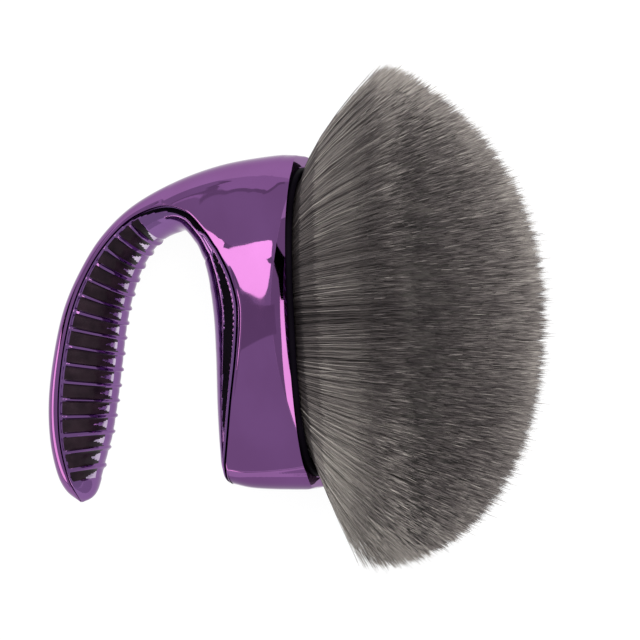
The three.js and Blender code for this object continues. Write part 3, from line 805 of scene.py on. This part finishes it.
# The cells' floors are painted dark, as shade and dark reflection in the recesses.
painted_cell_shade = plain_material(
    "cell_floor_painted_shade", (0.006, 0.003, 0.005), (0.017, 0.009, 0.013), 220, (0.14, 0.24), Specular_IOR_Level=0.12,
)
# The glint in the cells' bright ends is a painted highlight, a pale plated finish.
painted_glint_material = plated_material("cell_painted_glint", (0.42, 0.33, 0.48), (0.78, 0.68, 0.84), (0.12, 0.22))
# Black trim of the collar, which also paints the shade in the cover's deep strip and gap.
trim_and_painted_shade = plain_material(
    "trim_black_and_painted_shade", (0.0015, 0.001, 0.002), (0.003, 0.002, 0.004), 90, (0.5, 0.6), Specular_IOR_Level=0.02,
)
tones = strand_materials()

shell = handle_shell()
place(shell)
finish_piece(shell, "plated_plastic", [plated], "handle_shell")
cover = grip_cover()
place(cover, smooth_below=50)
finish_piece(cover, "grip_plastic", [grip, painted_cell_shade, trim_and_painted_shade, painted_glint_material], "grip_cover")
collar = mouth_collar()
place(collar)
finish_piece(collar, "trim_plastic", [trim_and_painted_shade], "mouth_collar")
core = fibre_core()
place(core, smooth_below=180)
finish_piece(core, "fibre", [core_painted_shade_material()], "fibre_pack")

FLANK_PIECES, FLANK_STRANDS = 3, 3200
TIP_PIECES, TIP_STRANDS = 4, 14000


def in_flank(rng, count):
    return 0.955 + 0.05 * rng.random(count)


def in_dome(rng, count):
    return rng.random(count) ** 0.45


for number in range(FLANK_PIECES):
    name = f"flank_strands_{number + 1}"
    strands = make_strands(name, FLANK_STRANDS, 10 + number, (-0.9, 1.0), in_flank, 0.13, 10, 0.7)
    finish_piece(strands, "fibre", tones)
for number in range(TIP_PIECES):
    name = f"tip_strands_{number + 1}"
    strands = make_strands(name, TIP_STRANDS, 20 + number, (0.88, 1.0), in_dome, 0.105, 3, 0.5)
    finish_piece(strands, "fibre", tones)

CAD_FINISHES = {
    "ferrule_cup": plain_material(
        "cup_metal", (0.62, 0.63, 0.64), (0.75, 0.76, 0.77), 120, (0.3, 0.42), Metallic=1.0,
    ),
    "potting_resin": plain_material("resin", (0.5, 0.38, 0.2), (0.62, 0.5, 0.28), 60, (0.25, 0.4)),
    "binding_band": plain_material("thread", (0.03, 0.025, 0.022), (0.07, 0.06, 0.055), 700, (0.7, 0.85)),
}
for node, material in CAD_FINISHES.items():
    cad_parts[node].data.materials.clear()
    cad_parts[node].data.materials.append(material)

# ---- studio --------------------------------------------------------------------------------------
# The camera looks straight down from far off. Lengths here are in metres, but the sensor is in millimetres.
VIEW_WIDTH = 0.1664
CAMERA_HEIGHT = 1.8
VIEW_MIDDLE = (0.00654, -0.00078, 0.0285)
SENSOR = 36

camera_data = bpy.data.cameras.new("camera")
camera_data.sensor_width = SENSOR
camera_data.lens = SENSOR * CAMERA_HEIGHT / VIEW_WIDTH
camera_data.clip_end = 10
camera = bpy.data.objects.new("camera", camera_data)
camera.location = (VIEW_MIDDLE[0], VIEW_MIDDLE[1], VIEW_MIDDLE[2] + CAMERA_HEIGHT)
bpy.context.scene.collection.objects.link(camera)
bpy.context.scene.camera = camera


def emitter(name, strength, colour=(1, 1, 1)):
    material = bpy.data.materials.new(name)
    material.use_nodes = True
    tree = material.node_tree
    tree.nodes.clear()
    light = tree.nodes.new("ShaderNodeEmission")
    light.inputs["Strength"].default_value = strength
    light.inputs["Color"].default_value = (*colour, 1)
    output = tree.nodes.new("ShaderNodeOutputMaterial")
    tree.links.new(light.outputs["Emission"], output.inputs["Surface"])
    return material


def card(name, corners, strength, colour=(1, 1, 1)):
    """A flat studio card with corners in millimetres, which only reflections see."""
    mesh = bpy.data.meshes.new(name)
    mesh.from_pydata((np.array(corners) * MM).tolist(), [], [list(range(len(corners)))])
    obj = bpy.data.objects.new(name, mesh)
    bpy.context.scene.collection.objects.link(obj)
    mesh.materials.append(emitter(name, strength, colour))
    obj.visible_camera = obj.visible_diffuse = obj.visible_shadow = obj.visible_transmission = False


def standing(outline, left=-80):
    """Corners of a card that stands to the left, from its outline across and up."""
    return [(left, across, up) for across, up in outline]


def lying(outline, level):
    """Corners of a card that lies just above the table, from its outline to the right and across."""
    return [(right, across, level) for right, across in outline]


FAR_WALL = 3000         # how far to the left of the brush the far cards stand


def far(directions):
    """Corners of a card on the far wall, from degrees round towards the arch and degrees up."""
    turned = [(math.radians(around), math.radians(up)) for around, up in directions]
    return [(-FAR_WALL, FAR_WALL * math.tan(a), FAR_WALL * math.tan(b) / math.cos(a)) for a, b in turned]


SOFTBOX = (1.0, 0.84, 0.78)
COOL, LILAC = (0.95, 0.95, 1), (0.96, 0.94, 1)
BAND_EDGE = [
    (9, 60), (8.5, 46), (20, 43.5), (29.5, 39.5), (37.5, 34), (42.5, 28), (49, 22.5), (54, 18.3), (56, 15),
    (57.5, 10), (59, 0.1),
]
BAND_LIGHT = BAND_EDGE + [(76, 0.1), (76, 30), (70, 50), (40, 62)]
BAND_SHADE = BAND_EDGE[1:-1] + [(around - 3, up - 0.7) for around, up in BAND_EDGE[-2:0:-1]]
BLOCK_SHADE = [(2, 51.2), (2.4, 42), (-7, 42), (-6.4, 54), (-1.5, 52)]
BLOCK_LIGHT = [
    (0.3, 52.8), (-0.8, 55), (-0.8, 60), (0.5, 66), (4, 71.5), (7.5, 75), (9.5, 76.2), (11.5, 75.4),
    (18, 72.4), (24.8, 69.8), (28, 67), (30.5, 62.5), (31.2, 57.5), (29, 55.2), (24, 53.8), (18, 51.5),
    (12, 50.3), (7, 50.1), (5, 50.6), (3.6, 51.2), (1.6, 52),
]
THROAT = [(15, 47.6), (15.3, 50.4), (16.4, 51.2), (17.8, 50.2), (16.6, 48.8)]
LOW_LIGHT = [(-95, 8), (-170, 4), (-210, -20), (-340, -60), (-900, -240), (-900, -600), (-95, -300)]
FLAG = [
    (-2400, 400), (-2400, 150), (-700, 50), (-220, 16), (-150, 3), (-95, 3), (-95, 24), (-125, 28),
    (-235, 45), (-680, 112),
]
card("band_light", far(BAND_LIGHT), 0.88, LILAC)
card("band_shade", far(BAND_SHADE), 0.42, COOL)
card("block_shade", standing(BLOCK_SHADE), 0.4, (0.95, 0.93, 1))
card("softbox", standing(BLOCK_LIGHT), 3.75, SOFTBOX)
card("throat_flag", standing(THROAT, -35), 0.5, COOL)
card("table_shade", lying([(-90, -600), (-2500, -600), (-2500, 900), (-90, 60)], 1), 0.5, COOL)
card("back_light", lying([(400, 60), (400, 2900), (-2500, 2900), (-2500, 900), (-90, 60)], 1), 1.1)
card("front_shade", lying([(300, -1500), (-30, -1500), (-30, -52), (300, -52)], 1), 0.72, LILAC)
card("low_softbox", lying(LOW_LIGHT, 3), 3.4, SOFTBOX)
card("flag", lying(FLAG, 4), 0.0)

floor_mesh = bpy.data.meshes.new("floor")
floor_mesh.from_pydata([(-3, -3, 0), (3, -3, 0), (3, 3, 0), (-3, 3, 0)], [], [(0, 1, 2, 3)])
floor = bpy.data.objects.new("floor", floor_mesh)
bpy.context.scene.collection.objects.link(floor)
floor_material, _, floor_shader = principled("pale_floor", Base_Color=(0.06, 0.06, 0.06, 1), Roughness=0.9)
floor_shader.inputs["Emission Color"].default_value = (1, 1, 1, 1)
floor_shader.inputs["Emission Strength"].default_value = 0.95
floor_mesh.materials.append(floor_material)

world = bpy.data.worlds.new("studio")
bpy.context.scene.world = world
world.use_nodes = True
backdrop = world.node_tree.nodes["Background"]
backdrop.inputs["Color"].default_value = (0.94, 0.95, 1, 1)
backdrop.inputs["Strength"].default_value = 0.63


def soft_light(name, place, size, energy):
    """A square light that faces the brush, and that reflections don't see."""
    data = bpy.data.lights.new(name, "AREA")
    data.shape, data.size, data.energy = "SQUARE", size, energy
    light = bpy.data.objects.new(name, data)
    light.location = place
    light.rotation_euler = Vector(place).to_track_quat("Z", "Y").to_euler()
    light.visible_glossy = False
    bpy.context.scene.collection.objects.link(light)


soft_light("key", (0.1, 0.25, 0.95), 0.8, 14)
soft_light("fill", (0.75, 0, 0.3), 0.5, 3.5)
bpy.context.scene.view_settings.view_transform = "Standard"
